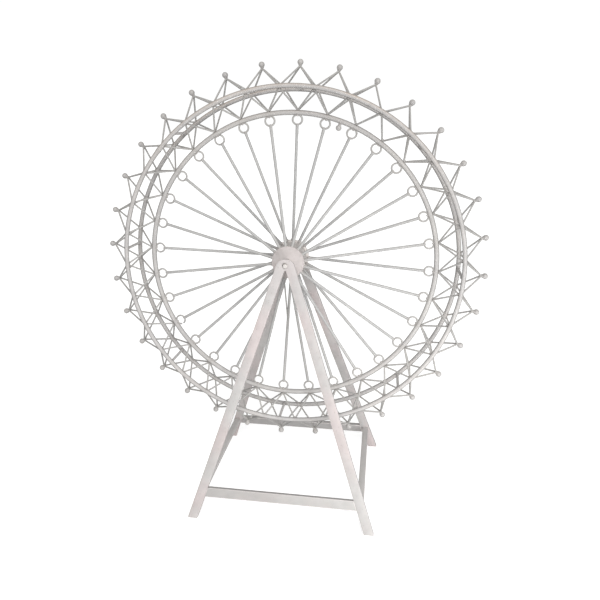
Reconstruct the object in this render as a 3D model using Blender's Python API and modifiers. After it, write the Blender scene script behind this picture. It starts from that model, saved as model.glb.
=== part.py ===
"""A tabletop ferris wheel of painted wire and flat bar.

The wheel is a rim of three round hoops laced together with thin wire, hung on
thirty-two spokes from a spool hub. It turns on an axle between two splayed
A-frames, which two side bars tie into a rectangle near the floor.

Metres, +Z up. The origin is on the floor below the middle of the wheel, the
axle lies along Y, and the front A-frame is on the -Y side.
"""

import math

import bmesh
import bpy
from mathutils import Matrix, Vector

# Clearances and small allowances
MM = 0.001
GAP = 0.3 * MM
RUNNING_CLEARANCE = 0.5 * MM
MERGE = 0.00001

# Wheel layout
BAYS = 32
BAYS_PER_SECTOR = 4
SECTORS = BAYS // BAYS_PER_SECTOR
PITCH = 2 * math.pi / BAYS
WHEEL_START = math.radians(3.4)
AXLE_HEIGHT = 428 * MM
BALL_CIRCLE = 330 * MM
OUTER_HOOP_RADIUS = 290 * MM
INNER_HOOP_RADIUS = 250 * MM
HOOP_HALF_SPACING = 32 * MM

# Wire and rod sizes
HOOP_ROD = 3.5 * MM
TIE_ROD = 2.4 * MM
LACING_WIRE = 1.25 * MM
WELD_BEAD = 1.6 * MM
SPOKE_ROD = 2.1 * MM
BALL_RADIUS = 5 * MM
STUB_ROD = 1.8 * MM
STUB_LENGTH = 2.5 * MM
LOOP_WIRE = 1.6 * MM
LOOP_RADIUS = 7.1 * MM
LOOP_WELD_DEPTH = 0.9 * MM

# Hub
FLANGE_RADIUS = 27 * MM
FLANGE_THICKNESS = 5 * MM
FLANGE_OUTER_FACE = 27 * MM
SPOKE_ROOT_DEPTH = 3 * MM
DRUM_RADIUS = 24 * MM
TUBE_RADIUS = 6 * MM
AXLE_RADIUS = 4 * MM
AXLE_HALF_LENGTH = 58 * MM
AXLE_CHAMFER = 0.8 * MM
TUBE_HALF_LENGTH = 44.4 * MM

# Stand
HEAD_DISTANCE = 51 * MM
FOOT_DISTANCE = 142 * MM
FOOT_HALF_WIDTH = 150 * MM
LEG_TOP_OFFSET = 7 * MM
BAR_WIDTH = 16 * MM
BAR_THICKNESS = 8 * MM
SIDE_BAR_HEIGHT = 8 * MM
CROSS_BAR_HEIGHT = 44.6 * MM
HEAD_RISE = 10 * MM
HEAD_CORNER = 14 * MM
HEAD_LENGTH = 26 * MM
CROTCH_DEPTH = 10 * MM
FLOOR_CUT_DEPTH = 12 * MM

# Facets
HOOP_SEGMENTS = 2 * BAYS
HOOP_SIDES = 6
WIRE_SIDES = 4
SPOKE_SIDES = 4
LOOP_SEGMENTS = 8
LOOP_SIDES = 4
BALL_SIDES = 6
BALL_RINGS = 5
TURNED_STEPS = 24
ARC_STEPS = 6
FACET_ROLL = math.radians(23.7)
BALL_TILT = math.radians(11)
OVERRUN = 0.05 * MM

# Angles and lengths that follow from the sizes
LEAN = math.atan2(FOOT_DISTANCE - HEAD_DISTANCE, AXLE_HEIGHT)
FRAME_LENGTH = math.hypot(FOOT_DISTANCE - HEAD_DISTANCE, AXLE_HEIGHT)
LEG_ANGLE = math.atan2(FOOT_HALF_WIDTH - LEG_TOP_OFFSET, FRAME_LENGTH)
BEAD_SEAT = HOOP_ROD + GAP + WELD_BEAD
WIRE_SEAT = HOOP_ROD + 0.65 * LACING_WIRE
APEX_RADIUS = BALL_CIRCLE - BALL_RADIUS - STUB_LENGTH
LOOP_CENTRE = INNER_HOOP_RADIUS - HOOP_ROD + LOOP_WELD_DEPTH - LOOP_WIRE - LOOP_RADIUS


def clear_scene():
    for old in list(bpy.data.objects):
        bpy.data.objects.remove(old, do_unlink=True)


def new_collection(name):
    collection = bpy.data.collections.new(name)
    bpy.context.scene.collection.children.link(collection)
    return collection


clear_scene()
PARTS = new_collection("ferris_wheel")
CUTTERS = new_collection("cutters")


def paint(name, colour, roughness, metallic):
    """A plain painted or bare metal finish."""
    material = bpy.data.materials.new(name)
    material.use_nodes = True
    shader = material.node_tree.nodes["Principled BSDF"]
    shader.inputs["Base Color"].default_value = (*colour, 1.0)
    shader.inputs["Roughness"].default_value = roughness
    shader.inputs["Metallic"].default_value = metallic
    material.diffuse_color = (*colour, 1.0)
    return material


HOOP_PAINT = paint("hoop_paint", (0.62, 0.57, 0.52), 0.5, 0.0)
WIRE_PAINT = paint("wire_paint", (0.66, 0.64, 0.61), 0.5, 0.0)
SPOKE_PAINT = paint("spoke_paint", (0.72, 0.70, 0.67), 0.5, 0.0)
HUB_PAINT = paint("hub_paint", (0.73, 0.66, 0.64), 0.45, 0.0)
STAND_PAINT = paint("stand_paint", (0.76, 0.71, 0.69), 0.45, 0.0)
AXLE_STEEL = paint("axle_steel", (0.55, 0.52, 0.49), 0.4, 0.6)


def place(mesh, name, material, parent=None, matrix=None):
    """Put a finished mesh in the model under a parent empty."""
    mesh.materials.clear()
    mesh.materials.append(material)
    part = bpy.data.objects.new(name, mesh)
    PARTS.objects.link(part)
    part.parent = parent
    part.matrix_local = matrix or Matrix()
    return part


def empty(name, location, rotation=(0, 0, 0)):
    holder = bpy.data.objects.new(name, None)
    holder.location = location
    holder.rotation_euler = rotation
    PARTS.objects.link(holder)
    return holder


def cutter(mesh, matrix):
    """A shape that only cuts or joins, and is no piece of the model."""
    tool = bpy.data.objects.new(mesh.name, mesh)
    tool.matrix_world = matrix
    tool.hide_render = True
    tool.display_type = "WIRE"
    CUTTERS.objects.link(tool)
    return tool


def mesh_from(name, build):
    """Fill a new mesh with the bmesh operator calls in build."""
    bm = bmesh.new()
    build(bm)
    mesh = bpy.data.meshes.new(name)
    bm.to_mesh(mesh)
    bm.free()
    return mesh


def rod_mesh(name, start, end, radius, sides, roll=0.0):
    """A straight round rod between two points, its facets rolled about its own length."""
    run = end - start
    turn = run.to_track_quat("Z", "Y").to_matrix().to_4x4() @ Matrix.Rotation(roll, 4, "Z")
    at = Matrix.Translation((start + end) / 2) @ turn

    def build(bm):
        bmesh.ops.create_cone(bm, cap_ends=True, segments=sides, radius1=radius,
                              radius2=radius, depth=run.length, matrix=at)

    return mesh_from(name, build)


def box_mesh(name, size, at=Matrix()):
    def build(bm):
        bmesh.ops.create_cube(bm, size=1.0, matrix=at @ Matrix.Diagonal((*size, 1.0)))

    return mesh_from(name, build)


def ball_mesh(name, centre, radius):
    tilt = Matrix.Rotation(BALL_TILT, 4, "X") @ Matrix.Rotation(BALL_TILT, 4, "Z")

    def build(bm):
        bmesh.ops.create_uvsphere(bm, u_segments=BALL_SIDES, v_segments=BALL_RINGS, radius=radius,
                                  matrix=Matrix.Translation(centre) @ tilt)

    return mesh_from(name, build)


def bead_mesh(name, centre, radius):
    def build(bm):
        bmesh.ops.create_icosphere(bm, subdivisions=1, radius=radius,
                                   matrix=Matrix.Translation(centre))

    return mesh_from(name, build)


def ring_mesh(name, ring_radius, rod_radius, segments, sides):
    """A closed ring of round rod in the XZ plane, about the Y axis."""
    bpy.ops.mesh.primitive_torus_add(major_segments=segments, minor_segments=sides,
                                     major_radius=ring_radius, minor_radius=rod_radius)
    ring = bpy.context.object
    mesh = ring.data
    mesh.name = name
    bpy.data.objects.remove(ring, do_unlink=True)
    mesh.transform(Matrix.Rotation(math.radians(-90), 4, "X"))
    return mesh


def evaluated_mesh(source, name):
    """The object's mesh with its modifiers applied."""
    graph = bpy.context.evaluated_depsgraph_get()
    mesh = bpy.data.meshes.new_from_object(source.evaluated_get(graph))
    mesh.name = name
    bpy.data.objects.remove(source, do_unlink=True)
    return mesh


def combined(name, base, others, operation="UNION"):
    """One closed mesh from a base mesh and the meshes joined to it or cut from it."""
    body = cutter(base, Matrix())
    tools = [cutter(other, Matrix()) for other in others]
    for tool in tools:
        step = body.modifiers.new(tool.name, "BOOLEAN")
        step.operation = operation
        step.solver = "EXACT"
        step.object = tool
    mesh = evaluated_mesh(body, name)
    for tool in tools:
        bpy.data.objects.remove(tool, do_unlink=True)
    return mesh


def turned_mesh(name, profile):
    """A ring turned about the Y axis from a closed (radius, y) profile."""
    bm = bmesh.new()
    corners = [bm.verts.new((radius, 0, y)) for radius, y in profile]
    for first, second in zip(corners, corners[1:] + corners[:1]):
        bm.edges.new((first, second))
    mesh = bpy.data.meshes.new(name)
    bm.to_mesh(mesh)
    bm.free()
    blank = cutter(mesh, Matrix())
    screw = blank.modifiers.new("turn", "SCREW")
    screw.axis = "Z"
    screw.steps = TURNED_STEPS
    screw.render_steps = TURNED_STEPS
    screw.use_merge_vertices = True
    screw.merge_threshold = MERGE
    turned = evaluated_mesh(blank, name)
    turned.transform(Matrix.Rotation(math.radians(-90), 4, "X"))
    return turned


def sleeve_mesh(name, inner, outer, y_low, y_high):
    """A plain tube, drum or disc with a bore, about the Y axis."""
    return turned_mesh(name, [(outer, y_high), (outer, y_low), (inner, y_low), (inner, y_high)])


def plate_mesh(name, outline, thickness):
    """A flat plate in the XY plane, cut to an outline and centred on the plane."""
    curve = bpy.data.curves.new(name, "CURVE")
    curve.dimensions = "2D"
    curve.fill_mode = "BOTH"
    curve.extrude = thickness / 2
    spline = curve.splines.new("POLY")
    spline.points.add(len(outline) - 1)
    for point, (x, y) in zip(spline.points, outline):
        point.co = (x, y, 0, 1)
    spline.use_cyclic_u = True
    shape = bpy.data.objects.new(name, curve)
    CUTTERS.objects.link(shape)
    mesh = evaluated_mesh(shape, name)
    bm = bmesh.new()
    bm.from_mesh(mesh)
    bmesh.ops.remove_doubles(bm, verts=bm.verts, dist=MERGE)
    bm.to_mesh(mesh)
    bm.free()
    return mesh


def rounded_corner(before, corner, after, radius):
    """Points of an arc that rounds one corner of an outline."""
    to_before = (before - corner).normalized()
    to_after = (after - corner).normalized()
    half = to_before.angle(to_after) / 2
    reach = radius / math.tan(half)
    start = corner + to_before * reach
    end = corner + to_after * reach
    centre = corner + (to_before + to_after).normalized() * radius / math.sin(half)
    first = start - centre
    sweep = first.angle_signed(end - centre)
    points = []
    for step in range(ARC_STEPS + 1):
        angle = -sweep * step / ARC_STEPS
        turned = Vector((first.x * math.cos(angle) - first.y * math.sin(angle),
                         first.x * math.sin(angle) + first.y * math.cos(angle)))
        points.append(centre + turned)
    return points


# The wheel: places on it are given by radius, offset along the axle and bay

def on_wheel(radius, y, bay):
    angle = bay * PITCH
    return Vector((radius * math.sin(angle), y, radius * math.cos(angle)))


def hoop_seat(side, bay, aim_radius):
    """Where lacing rests on an outer hoop, on the side that faces the aim radius."""
    lean_in = Vector((aim_radius - OUTER_HOOP_RADIUS, HOOP_HALF_SPACING)).normalized()
    radius = OUTER_HOOP_RADIUS + lean_in.x * WIRE_SEAT
    y = side * (HOOP_HALF_SPACING - lean_in.y * WIRE_SEAT)
    return on_wheel(radius, y, bay)


def end_set_back(seat, peak, bay):
    """How far a sector's last wire stops short of the seat it shares with the next sector."""
    sideways = on_wheel(1, 0, bay + BAYS / 4)
    half_angle = math.asin(abs((seat - peak).normalized().dot(sideways)))
    return (GAP + LACING_WIRE * math.cos(half_angle)) / math.sin(half_angle)


def lacing(name, peak_radius):
    """Wires from the peak of each bay to their seats on the front and back hoops."""
    pieces = []
    last = BAYS_PER_SECTOR - 0.5
    for bay in range(BAYS_PER_SECTOR):
        peak = on_wheel(peak_radius, 0, bay)
        for side in (-1, 1):
            for seat_bay in (bay - 0.5, bay + 0.5):
                seat = hoop_seat(side, seat_bay, peak_radius)
                if seat_bay in (-0.5, last):
                    seat += (peak - seat).normalized() * end_set_back(seat, peak, seat_bay)
                roll = FACET_ROLL * len(pieces)
                run = (peak - seat).normalized()
                past_peak = peak + run * OVERRUN * (len(pieces) % 3)
                past_seat = seat - run * OVERRUN * (len(pieces) % 2)
                pieces.append(rod_mesh(name, past_seat, past_peak, LACING_WIRE, WIRE_SIDES, roll))
    return pieces


def crown_mesh():
    """Wires outside the hoops, with a ball on a stub at each peak."""
    pieces = lacing("crown_wire", APEX_RADIUS)
    for bay in range(BAYS_PER_SECTOR):
        foot = on_wheel(APEX_RADIUS - LACING_WIRE, 0, bay)
        top = on_wheel(BALL_CIRCLE - BALL_RADIUS / 2, 0, bay)
        pieces.append(rod_mesh("stub", foot, top, STUB_ROD, WIRE_SIDES))
        pieces.append(ball_mesh("ball", on_wheel(BALL_CIRCLE, 0, bay), BALL_RADIUS))
    return combined("crown_sector", pieces[0], pieces[1:])


def web_mesh():
    """Wires between the outer hoops and the inner hoop."""
    peak_radius = INNER_HOOP_RADIUS + BEAD_SEAT
    pieces = lacing("web_wire", peak_radius)
    for bay in range(BAYS_PER_SECTOR):
        pieces.append(bead_mesh("bead", on_wheel(peak_radius, 0, bay), WELD_BEAD))
    return combined("web_sector", pieces[0], pieces[1:])


def inner_hoop_mesh():
    """The inner hoop with a small ring welded inside it at every spoke."""
    hoop = ring_mesh("inner_hoop", INNER_HOOP_RADIUS, HOOP_ROD, HOOP_SEGMENTS, HOOP_SIDES)
    rings = []
    for bay in range(BAYS):
        ring = ring_mesh("spoke_ring", LOOP_RADIUS, LOOP_WIRE, LOOP_SEGMENTS, LOOP_SIDES)
        turn = Matrix.Rotation(bay * PITCH + BALL_TILT, 4, "Y")
        ring.transform(Matrix.Translation(on_wheel(LOOP_CENTRE, OVERRUN, bay)) @ turn)
        rings.append(ring)
    return combined("inner_hoop", hoop, rings)


def spoke_set_mesh(name, side, first_bay):
    """A hub flange with every second spoke, which ends at its ring."""
    outer = side * FLANGE_OUTER_FACE
    inner = side * (FLANGE_OUTER_FACE - FLANGE_THICKNESS)
    flange = sleeve_mesh(name, TUBE_RADIUS + GAP, FLANGE_RADIUS, min(outer, inner), max(outer, inner))
    root_y = (outer + inner) / 2
    tip_radius = LOOP_CENTRE - LOOP_RADIUS - LOOP_WIRE - GAP
    spokes = []
    for bay in range(first_bay, BAYS, 2):
        root = on_wheel(FLANGE_RADIUS - SPOKE_ROOT_DEPTH, root_y, bay)
        tip = on_wheel(tip_radius, 0, bay)
        spokes.append(rod_mesh("spoke", root, tip, SPOKE_ROD, SPOKE_SIDES, FACET_ROLL))
    return combined(name, flange, spokes)


def build_wheel():
    hub = empty("wheel_axis", (0, 0, AXLE_HEIGHT), (0, WHEEL_START, 0))
    hoop = ring_mesh("outer_hoop", OUTER_HOOP_RADIUS, HOOP_ROD, HOOP_SEGMENTS, HOOP_SIDES)
    for name, y in (("front_hoop", -HOOP_HALF_SPACING), ("back_hoop", HOOP_HALF_SPACING)):
        place(hoop, name, HOOP_PAINT, hub, Matrix.Translation((0, y, 0)))
    place(inner_hoop_mesh(), "inner_hoop", HOOP_PAINT, hub)

    tie_end = HOOP_HALF_SPACING - HOOP_ROD - GAP
    tie = rod_mesh("hoop_tie", Vector((0, -tie_end, OUTER_HOOP_RADIUS)),
                   Vector((0, tie_end, OUTER_HOOP_RADIUS)), TIE_ROD, SPOKE_SIDES)
    crown = crown_mesh()
    web = web_mesh()
    for sector in range(SECTORS):
        turn = Matrix.Rotation(sector * BAYS_PER_SECTOR * PITCH, 4, "Y")
        place(tie, f"hoop_tie_{sector + 1}", HOOP_PAINT, hub, turn)
        place(crown, f"crown_{sector + 1}", WIRE_PAINT, hub, turn)
        place(web, f"web_{sector + 1}", WIRE_PAINT, hub, turn)

    place(spoke_set_mesh("front_spoke_set", -1, 1), "front_spoke_set", SPOKE_PAINT, hub)
    place(spoke_set_mesh("back_spoke_set", 1, 0), "back_spoke_set", SPOKE_PAINT, hub)
    drum_end = FLANGE_OUTER_FACE - FLANGE_THICKNESS - GAP
    drum = sleeve_mesh("hub_drum", TUBE_RADIUS + GAP, DRUM_RADIUS, -drum_end, drum_end)
    place(drum, "hub_drum", HUB_PAINT, hub)
    tube = sleeve_mesh("hub_tube", AXLE_RADIUS + RUNNING_CLEARANCE, TUBE_RADIUS,
                       -TUBE_HALF_LENGTH, TUBE_HALF_LENGTH)
    place(tube, "hub_tube", HUB_PAINT, hub)


# The stand: each A-frame lies in the XY plane of its own empty, whose origin is
# on the axle, with Y up along the frame and Z facing away from the wheel

def leg_centre(v):
    """Sideways distance of a leg's centre line at a height v in the frame's plane."""
    return LEG_TOP_OFFSET - v * math.tan(LEG_ANGLE)


def head_outline():
    """The rounded head that joins two legs, from the left leg's cut round to the right."""
    along = Vector((math.sin(LEG_ANGLE), -math.cos(LEG_ANGLE)))
    across = Vector((math.cos(LEG_ANGLE), math.sin(LEG_ANGLE))) * BAR_WIDTH / 2
    cut = Vector((LEG_TOP_OFFSET, 0)) + along * HEAD_LENGTH
    outer_cut = cut + across
    inner_cut = cut - across
    rise = HEAD_RISE - outer_cut.y
    shoulder = outer_cut - along * rise / math.cos(LEG_ANGLE)
    top = Vector((0, HEAD_RISE))
    slope = (-CROTCH_DEPTH - inner_cut.y) / math.cos(LEG_ANGLE)
    crotch = inner_cut - along * slope
    right = [crotch, inner_cut, outer_cut]
    right += rounded_corner(outer_cut, shoulder, top, HEAD_CORNER)
    left = [Vector((-point.x, point.y)) for point in reversed(right)]
    return right + left


def axle_bore():
    reach = 2 * HEAD_DISTANCE
    return rod_mesh("axle_bore", Vector((0, -reach, 0)), Vector((0, reach, 0)),
                    AXLE_RADIUS + GAP, TURNED_STEPS)


def head_mesh():
    plate = plate_mesh("head", head_outline(), BAR_THICKNESS)
    bore = axle_bore()
    bore.transform(Matrix.Rotation(LEAN - math.radians(90), 4, "X"))
    return combined("head", plate, [bore], "DIFFERENCE")


def cross_bar_mesh():
    """A flat bar whose slanted ends meet the inner edges of the legs."""
    middle = -(AXLE_HEIGHT - CROSS_BAR_HEIGHT) / math.cos(LEAN)
    outline = []
    for v in (middle - BAR_WIDTH / 2, middle + BAR_WIDTH / 2):
        half = leg_centre(v) - (BAR_WIDTH / 2 + GAP) / math.cos(LEG_ANGLE)
        ends = [Vector((half, v)), Vector((-half, v))]
        outline += ends if v > middle else reversed(ends)
    return plate_mesh("cross_bar", outline, BAR_THICKNESS)


def leg_mesh(side):
    """A flat bar from the head down to a cut that lies flat on the floor."""
    along = Vector((side * math.sin(LEG_ANGLE), -math.cos(LEG_ANGLE), 0))
    start = Vector((side * LEG_TOP_OFFSET, 0, 0)) + along * (HEAD_LENGTH + GAP)
    length = FRAME_LENGTH / math.cos(LEG_ANGLE) - HEAD_LENGTH + FLOOR_CUT_DEPTH
    middle = start + along * length / 2
    turn = Matrix.Rotation(side * LEG_ANGLE, 4, "Z")
    bar = box_mesh("leg", (BAR_WIDTH, length, BAR_THICKNESS), Matrix.Translation(middle) @ turn)
    floor_size = Vector((4 * FOOT_HALF_WIDTH, 4 * FOOT_DISTANCE, 4 * FLOOR_CUT_DEPTH))
    floor = box_mesh("floor_cut", floor_size, Matrix.Translation((0, 0, -floor_size.z / 2)))
    floor.transform(frame_matrix().inverted())
    return combined("leg", bar, [floor], "DIFFERENCE")


def frame_matrix():
    """The front A-frame's plane in the world."""
    return Matrix.Translation((0, -HEAD_DISTANCE, AXLE_HEIGHT)) @ Matrix.Rotation(
        math.radians(90) - LEAN, 4, "X")


def side_bar_outline():
    """A side bar seen from the side, with ends that meet the leaning legs."""
    outline = []
    low = CROSS_BAR_HEIGHT - SIDE_BAR_HEIGHT / 2
    high = CROSS_BAR_HEIGHT + SIDE_BAR_HEIGHT / 2
    for z in (low, high):
        leg_middle = HEAD_DISTANCE + (AXLE_HEIGHT - z) * math.tan(LEAN)
        reach = leg_middle - (BAR_THICKNESS / 2 + GAP) / math.cos(LEAN)
        ends = [Vector((reach, z)), Vector((-reach, z))]
        outline += ends if z > CROSS_BAR_HEIGHT else reversed(ends)
    return outline


def build_stand():
    upright = math.radians(90) - LEAN
    frames = {
        "front": empty("front_frame", (0, -HEAD_DISTANCE, AXLE_HEIGHT), (upright, 0, 0)),
        "back": empty("back_frame", (0, HEAD_DISTANCE, AXLE_HEIGHT), (upright, 0, math.pi)),
    }
    head = head_mesh()
    cross_bar = cross_bar_mesh()
    legs = {side: leg_mesh(side) for side in (-1, 1)}
    for end, frame in frames.items():
        place(head, f"{end}_head", STAND_PAINT, frame)
        place(cross_bar, f"{end}_cross_bar", STAND_PAINT, frame)
        right_hand = 1 if end == "front" else -1
        place(legs[right_hand], f"{end}_right_leg", STAND_PAINT, frame)
        place(legs[-right_hand], f"{end}_left_leg", STAND_PAINT, frame)

    side_bar = plate_mesh("side_bar", side_bar_outline(), BAR_THICKNESS)
    side_bar.transform(Matrix.Rotation(math.radians(90), 4, "Z") @ Matrix.Rotation(math.radians(90), 4, "X"))
    level = -(AXLE_HEIGHT - CROSS_BAR_HEIGHT) / math.cos(LEAN)
    for name, side in (("left_side_bar", -1), ("right_side_bar", 1)):
        place(side_bar, name, STAND_PAINT, None, Matrix.Translation((side * leg_centre(level), 0, 0)))

    axle = rod_mesh("axle", Vector((0, -AXLE_HALF_LENGTH, 0)), Vector((0, AXLE_HALF_LENGTH, 0)),
                    AXLE_RADIUS, TURNED_STEPS)
    rod = place(axle, "axle", AXLE_STEEL, None, Matrix.Translation((0, 0, AXLE_HEIGHT)))
    rim = rod.modifiers.new("rim", "BEVEL")
    rim.width = AXLE_CHAMFER
    rim.segments = 1
    rim.limit_method = "ANGLE"
    rim.angle_limit = math.radians(60)


def shade():
    for part in PARTS.objects:
        if part.type == "MESH":
            part.data.shade_smooth()
            part.data.set_sharp_from_angle(angle=math.radians(35))


build_wheel()
build_stand()
shade()
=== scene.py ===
# %% [markdown]
# # A tabletop ferris wheel of painted wire and bar
# The wheel is a rim of three round hoops, laced together with thin wire and hung on
# thirty-two spokes from a spool hub. It turns on an axle between two A-frames of flat bar.
# A plain solid stands for each piece already. This lesson models the pieces again the way
# a maker draws, bends and welds them, and then gives them their aged white paint.

# %% Load the plain solids
import math
import random

import bmesh
import bpy
from mathutils import Matrix, Vector
from mathutils.kdtree import KDTree


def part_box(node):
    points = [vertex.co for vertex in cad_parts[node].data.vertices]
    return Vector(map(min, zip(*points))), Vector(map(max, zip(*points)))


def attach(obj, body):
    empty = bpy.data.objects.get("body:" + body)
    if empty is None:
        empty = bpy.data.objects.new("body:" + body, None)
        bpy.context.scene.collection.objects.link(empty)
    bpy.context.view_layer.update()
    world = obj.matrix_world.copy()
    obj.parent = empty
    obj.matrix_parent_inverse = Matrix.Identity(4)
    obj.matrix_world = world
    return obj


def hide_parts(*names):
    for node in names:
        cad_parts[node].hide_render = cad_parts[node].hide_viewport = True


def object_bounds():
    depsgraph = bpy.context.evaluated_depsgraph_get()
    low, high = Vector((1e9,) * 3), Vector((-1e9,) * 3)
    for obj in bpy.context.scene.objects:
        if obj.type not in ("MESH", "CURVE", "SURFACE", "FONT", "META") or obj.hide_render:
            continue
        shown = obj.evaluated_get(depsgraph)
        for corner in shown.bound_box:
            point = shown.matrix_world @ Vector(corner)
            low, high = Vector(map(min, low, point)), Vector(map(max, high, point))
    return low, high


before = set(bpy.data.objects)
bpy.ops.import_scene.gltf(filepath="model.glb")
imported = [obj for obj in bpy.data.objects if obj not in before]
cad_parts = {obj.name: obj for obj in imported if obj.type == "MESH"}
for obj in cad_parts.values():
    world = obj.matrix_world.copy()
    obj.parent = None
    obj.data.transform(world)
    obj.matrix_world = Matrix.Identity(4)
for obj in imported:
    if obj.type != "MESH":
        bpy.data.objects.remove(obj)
solid_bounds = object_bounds()
MM = 0.001

# %% [markdown]
# The camera comes before any modelling, because it decides how fine a detail has to be.
# Its place was found by matching the balls, rings and hoops of the photograph, so it is
# written as a place in metres, two turns and a slight tilt. The photograph is cut off
# centre, and a small lens shift does the same.

# %% Set up the camera
PICTURE_SIZE = 600
CAMERA_PLACE = Vector((0.1577, -1.0217, 0.6587))
CAMERA_TURN_LEFT = 0.1696
CAMERA_LOOK_DOWN = 0.2226
CAMERA_TILT = -0.0094
FOCAL_PIXELS = 603.37
IMAGE_CENTRE = (280.46, 260.90)
NEAREST_SEEN = 10 * MM


def linked(thing):
    bpy.context.scene.collection.objects.link(thing)
    return thing


def make_camera():
    data = bpy.data.cameras.new("camera")
    data.lens = FOCAL_PIXELS / PICTURE_SIZE * data.sensor_width
    data.shift_x = 0.5 - IMAGE_CENTRE[0] / PICTURE_SIZE
    data.shift_y = IMAGE_CENTRE[1] / PICTURE_SIZE - 0.5
    data.clip_start = NEAREST_SEEN
    camera = linked(bpy.data.objects.new("camera", data))
    turn = Matrix.Rotation(CAMERA_TURN_LEFT, 3, "Z")
    turn @= Matrix.Rotation(math.radians(90) - CAMERA_LOOK_DOWN, 3, "X")
    turn @= Matrix.Rotation(CAMERA_TILT, 3, "Z")
    camera.location = CAMERA_PLACE
    camera.rotation_euler = turn.to_euler()
    bpy.context.scene.camera = camera
    return camera


camera = make_camera()
print("lens", round(camera.data.lens, 2), "mm")

# %% [markdown]
# A white object on a white ground needs light with a clear direction, or it goes flat. A
# broad sun stands high in front, as a big window would, and a weaker soft panel low on the
# right brightens the near leg. The sky gives the rest, and is plain white to the camera.

# %% Light the studio
SUN_FROM = Vector((0.25, -1.0, 0.66))
SUN_WIDTH = math.radians(50)
SUN_POWER = 2.2
PANEL_PLACE = Vector((0.5, -0.6, 0.1))
PANEL_AIM = Vector((0.1, -0.1, 0.1))
PANEL_SIZE = 0.4
PANEL_POWER = 3.3
SKY_LIGHT = 0.4
SKY_SEEN = 1.03


def window_sun():
    data = bpy.data.lights.new("window", "SUN")
    data.energy = SUN_POWER
    data.angle = SUN_WIDTH
    sun = linked(bpy.data.objects.new("window", data))
    sun.rotation_euler = SUN_FROM.to_track_quat("Z", "Y").to_euler()


def low_panel():
    data = bpy.data.lights.new("low_panel", "AREA")
    data.shape = "DISK"
    data.size = PANEL_SIZE
    data.energy = PANEL_POWER
    panel = linked(bpy.data.objects.new("low_panel", data))
    panel.visible_camera = False
    panel.location = PANEL_PLACE
    panel.rotation_euler = (PANEL_PLACE - PANEL_AIM).to_track_quat("Z", "Y").to_euler()


def seen_otherwise(tree, socket, to_light, to_camera):
    """Give a socket one value for the light and another for what the camera sees."""
    path = tree.nodes.new("ShaderNodeLightPath")
    level = tree.nodes.new("ShaderNodeMapRange")
    level.inputs["To Min"].default_value = to_light
    level.inputs["To Max"].default_value = to_camera
    tree.links.new(path.outputs["Is Camera Ray"], level.inputs["Value"])
    tree.links.new(level.outputs["Result"], socket)


def white_sky():
    world = bpy.data.worlds.new("sky")
    bpy.context.scene.world = world
    world.use_nodes = True
    background = world.node_tree.nodes["Background"]
    background.inputs["Color"].default_value = (1, 1, 1, 1)
    seen_otherwise(world.node_tree, background.inputs["Strength"], SKY_LIGHT, SKY_SEEN)


window_sun()
low_panel()
white_sky()
bpy.context.scene.view_settings.view_transform = "Standard"
print("lit by a window, a low panel and a white sky")

# %% [markdown]
# The pale floor lies just under the feet. It shines a little for the camera alone, so that
# it meets the sky without an edge, and yet throws no more light on the piece than paper.

# %% Lay the floor
FLOOR_GLOW = 0.55
FLOOR_SIZE = 80
FLOOR_GAP = 0.2 * MM
FLOOR_COLOUR = (0.85, 0.85, 0.845, 1)
FLOOR_ROUGHNESS = 0.8
FLOOR_SHINE = 0.1


def pale_floor():
    bpy.ops.object.select_all(action="DESELECT")
    bpy.ops.mesh.primitive_plane_add(size=FLOOR_SIZE, location=(0, 0, solid_bounds[0].z - FLOOR_GAP))
    floor = bpy.context.object
    floor.name = "floor"
    material = bpy.data.materials.new("floor")
    material.use_nodes = True
    shader = material.node_tree.nodes["Principled BSDF"]
    shader.inputs["Base Color"].default_value = FLOOR_COLOUR
    shader.inputs["Roughness"].default_value = FLOOR_ROUGHNESS
    shader.inputs["Specular IOR Level"].default_value = FLOOR_SHINE
    shader.inputs["Emission Color"].default_value = (1, 1, 1, 1)
    seen_otherwise(material.node_tree, shader.inputs["Emission Strength"], 0, FLOOR_GLOW)
    floor.data.materials.append(material)


pale_floor()
print("floor", FLOOR_SIZE, "m across")

# %% [markdown]
# Every place on the wheel is a radius from the axle, an offset along the axle and a bay
# number, counted clockwise from the ball nearest the top. The hub, the first bay and the
# offset of the hoops are read from the solids, and the radii are those the solids have.
# The rods are a little thicker, as they look in the photograph.

# %% Measure the wheel
BAYS = 32
PITCH = 2 * math.pi / BAYS
BAYS_PER_SECTOR = 4
SECTORS = BAYS // BAYS_PER_SECTOR
HOOP_ROD = 3.9 * MM
INNER_ROD = 4.3 * MM
LACING_WIRE = 1.5 * MM
BALL_RADIUS = 5 * MM
BALL_CIRCLE = 330 * MM
OUTER_HOOP = 290 * MM
INNER_HOOP = 250 * MM


def middle(node):
    low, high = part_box(node)
    return (low + high) / 2


def half_size(node):
    low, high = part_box(node)
    return (high - low) / 2


HUB = middle("axle")
first_tie = middle("hoop_tie_1") - HUB
WHEEL_START = math.atan2(first_tie.x, first_tie.z)
HOOP_OFFSET = middle("back_hoop").y


def on_wheel(radius, y, bay):
    """A place on the wheel, by its radius, its offset along the axle and its bay."""
    angle = WHEEL_START + bay * PITCH
    return HUB + Vector((radius * math.sin(angle), y, radius * math.cos(angle)))


print("hub at", tuple(round(c, 4) for c in HUB))
print("first ball at", round(math.degrees(WHEEL_START), 2), "degrees")

# %% [markdown]
# The paint comes before the modelling, so that each pattern is painted once and its copies
# are painted with it. All finishes here are one aged white paint over steel, so its effects
# are node groups, built once and placed in each material with other values. Wiring nodes
# one by one is long, so a few helpers each add a node and give back its output.

# %% Helpers for shader nodes
COLOUR = "NodeSocketColor"
NUMBER = "NodeSocketFloat"


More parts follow.
